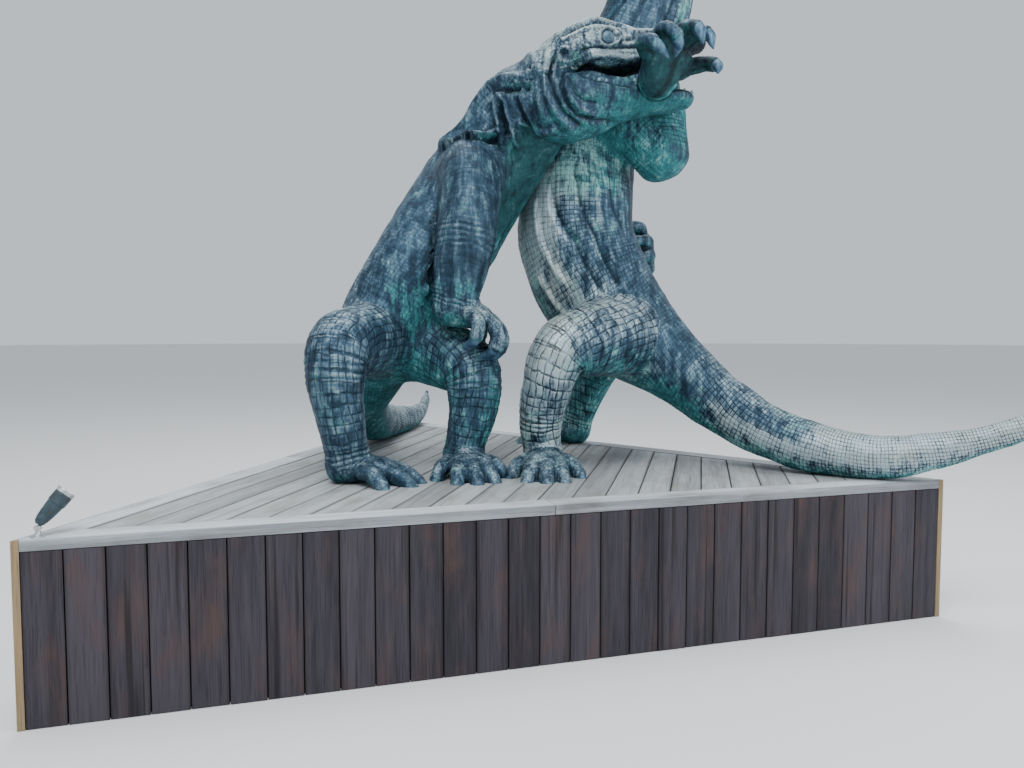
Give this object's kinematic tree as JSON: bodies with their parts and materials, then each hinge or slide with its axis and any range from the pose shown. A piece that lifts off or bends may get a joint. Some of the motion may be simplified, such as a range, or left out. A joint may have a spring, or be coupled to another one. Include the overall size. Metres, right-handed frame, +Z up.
{
  "type": "komodo dragon sculpture",
  "caption": "Bronze sculpture of two Komodo dragons wrestling upright, fixed on a triangular timber-clad plinth with a small spotlight at one corner.",
  "frame": {"origin": "on the ground under the middle of the triangular plinth", "axes": "+Z up; +X along the plinth's front side towards the right dragon's tail; +Y away from the front side towards the back corner"},
  "size_m": [4.9561, 4.6041, 4.4906],
  "materials": {
    "left_tail_tip": "weathered bronze with dark and verdigris patina",
    "left_tail_middle": "weathered bronze with dark and verdigris patina",
    "left_tail_base": "weathered bronze with dark and verdigris patina",
    "left_trunk": "weathered bronze with dark and verdigris patina",
    "left_neck": "weathered bronze with dark and verdigris patina",
    "left_head": "weathered bronze with dark and verdigris patina",
    "left_jaw": "weathered bronze with dark and verdigris patina",
    "left_eye_left": "pale patinated bronze",
    "left_eye_right": "pale patinated bronze",
    "left_upper_arm_left": "weathered bronze with dark and verdigris patina",
    "left_upper_arm_right": "weathered bronze with dark and verdigris patina",
    "left_forearm_left": "weathered bronze with dark and verdigris patina",
    "left_forearm_right": "weathered bronze with dark and verdigris patina",
    "left_hand_left": "weathered bronze with dark and verdigris patina",
    "left_hand_right": "weathered bronze with dark and verdigris patina",
    "left_thigh_left": "weathered bronze with dark and verdigris patina",
    "left_thigh_right": "weathered bronze with dark and verdigris patina",
    "left_shin_left": "weathered bronze with dark and verdigris patina",
    "left_shin_right": "weathered bronze with dark and verdigris patina",
    "left_foot_left": "weathered bronze with dark and verdigris patina",
    "left_foot_right": "weathered bronze with dark and verdigris patina",
    "right_tail_tip": "weathered bronze with dark and verdigris patina",
    "right_tail_middle": "weathered bronze with dark and verdigris patina",
    "right_tail_base": "weathered bronze with dark and verdigris patina",
    "right_trunk": "weathered bronze with dark and verdigris patina",
    "right_neck": "weathered bronze with dark and verdigris patina",
    "right_head": "weathered bronze with dark and verdigris patina",
    "right_jaw": "weathered bronze with dark and verdigris patina",
    "right_eye_left": "pale patinated bronze",
    "right_eye_right": "pale patinated bronze",
    "right_upper_arm_left": "weathered bronze with dark and verdigris patina",
    "right_upper_arm_right": "weathered bronze with dark and verdigris patina",
    "right_forearm_left": "weathered bronze with dark and verdigris patina",
    "right_forearm_right": "weathered bronze with dark and verdigris patina",
    "right_hand_left": "weathered bronze with dark and verdigris patina",
    "right_hand_right": "weathered bronze with dark and verdigris patina",
    "right_thigh_left": "weathered bronze with dark and verdigris patina",
    "right_thigh_right": "weathered bronze with dark and verdigris patina",
    "right_shin_left": "weathered bronze with dark and verdigris patina",
    "right_shin_right": "weathered bronze with dark and verdigris patina",
    "right_foot_left": "weathered bronze with dark and verdigris patina",
    "right_foot_right": "weathered bronze with dark and verdigris patina",
    "plinth_frame": "dark stained timber",
    "plinth_deck": "silver-grey weathered timber",
    "plinth_cladding_front": "dark stained timber",
    "plinth_cladding_right": "dark stained timber",
    "plinth_cladding_left": "dark stained timber",
    "plinth_edge_front": "silver-grey weathered timber",
    "plinth_edge_right": "silver-grey weathered timber",
    "plinth_edge_left": "silver-grey weathered timber",
    "plinth_batten_front_left": "pale sawn timber",
    "plinth_batten_front_right": "pale sawn timber",
    "plinth_batten_back": "pale sawn timber",
    "lamp_bracket": "dark grey paint",
    "lamp_body": "dark grey paint"
  },
  "bodies": {
    "root": {"left_tail_tip": "left_tail_tip", "left_tail_middle": "left_tail_middle", "left_tail_base": "left_tail_base", "left_trunk": "left_trunk", "left_neck": "left_neck", "left_head": "left_head", "left_jaw": "left_jaw", "left_eye_left": "left_eye_left", "left_eye_right": "left_eye_right", "left_upper_arm_left": "left_upper_arm_left", "left_upper_arm_right": "left_upper_arm_right", "left_forearm_left": "left_forearm_left", "left_forearm_right": "left_forearm_right", "left_hand_left": "left_hand_left", "left_hand_right": "left_hand_right", "left_thigh_left": "left_thigh_left", "left_thigh_right": "left_thigh_right", "left_shin_left": "left_shin_left", "left_shin_right": "left_shin_right", "left_foot_left": "left_foot_left", "left_foot_right": "left_foot_right", "right_tail_tip": "right_tail_tip", "right_tail_middle": "right_tail_middle", "right_tail_base": "right_tail_base", "right_trunk": "right_trunk", "right_neck": "right_neck", "right_head": "right_head", "right_jaw": "right_jaw", "right_eye_left": "right_eye_left", "right_eye_right": "right_eye_right", "right_upper_arm_left": "right_upper_arm_left", "right_upper_arm_right": "right_upper_arm_right", "right_forearm_left": "right_forearm_left", "right_forearm_right": "right_forearm_right", "right_hand_left": "right_hand_left", "right_hand_right": "right_hand_right", "right_thigh_left": "right_thigh_left", "right_thigh_right": "right_thigh_right", "right_shin_left": "right_shin_left", "right_shin_right": "right_shin_right", "right_foot_left": "right_foot_left", "right_foot_right": "right_foot_right", "plinth_frame": "plinth_frame", "plinth_deck": "plinth_deck", "plinth_cladding_front": "plinth_cladding_front", "plinth_cladding_right": "plinth_cladding_right", "plinth_cladding_left": "plinth_cladding_left", "plinth_edge_front": "plinth_edge_front", "plinth_edge_right": "plinth_edge_right", "plinth_edge_left": "plinth_edge_left", "plinth_batten_front_left": "plinth_batten_front_left", "plinth_batten_front_right": "plinth_batten_front_right", "plinth_batten_back": "plinth_batten_back", "lamp_bracket": "lamp_bracket", "lamp_body": "lamp_body"}
  },
  "joints": []
}
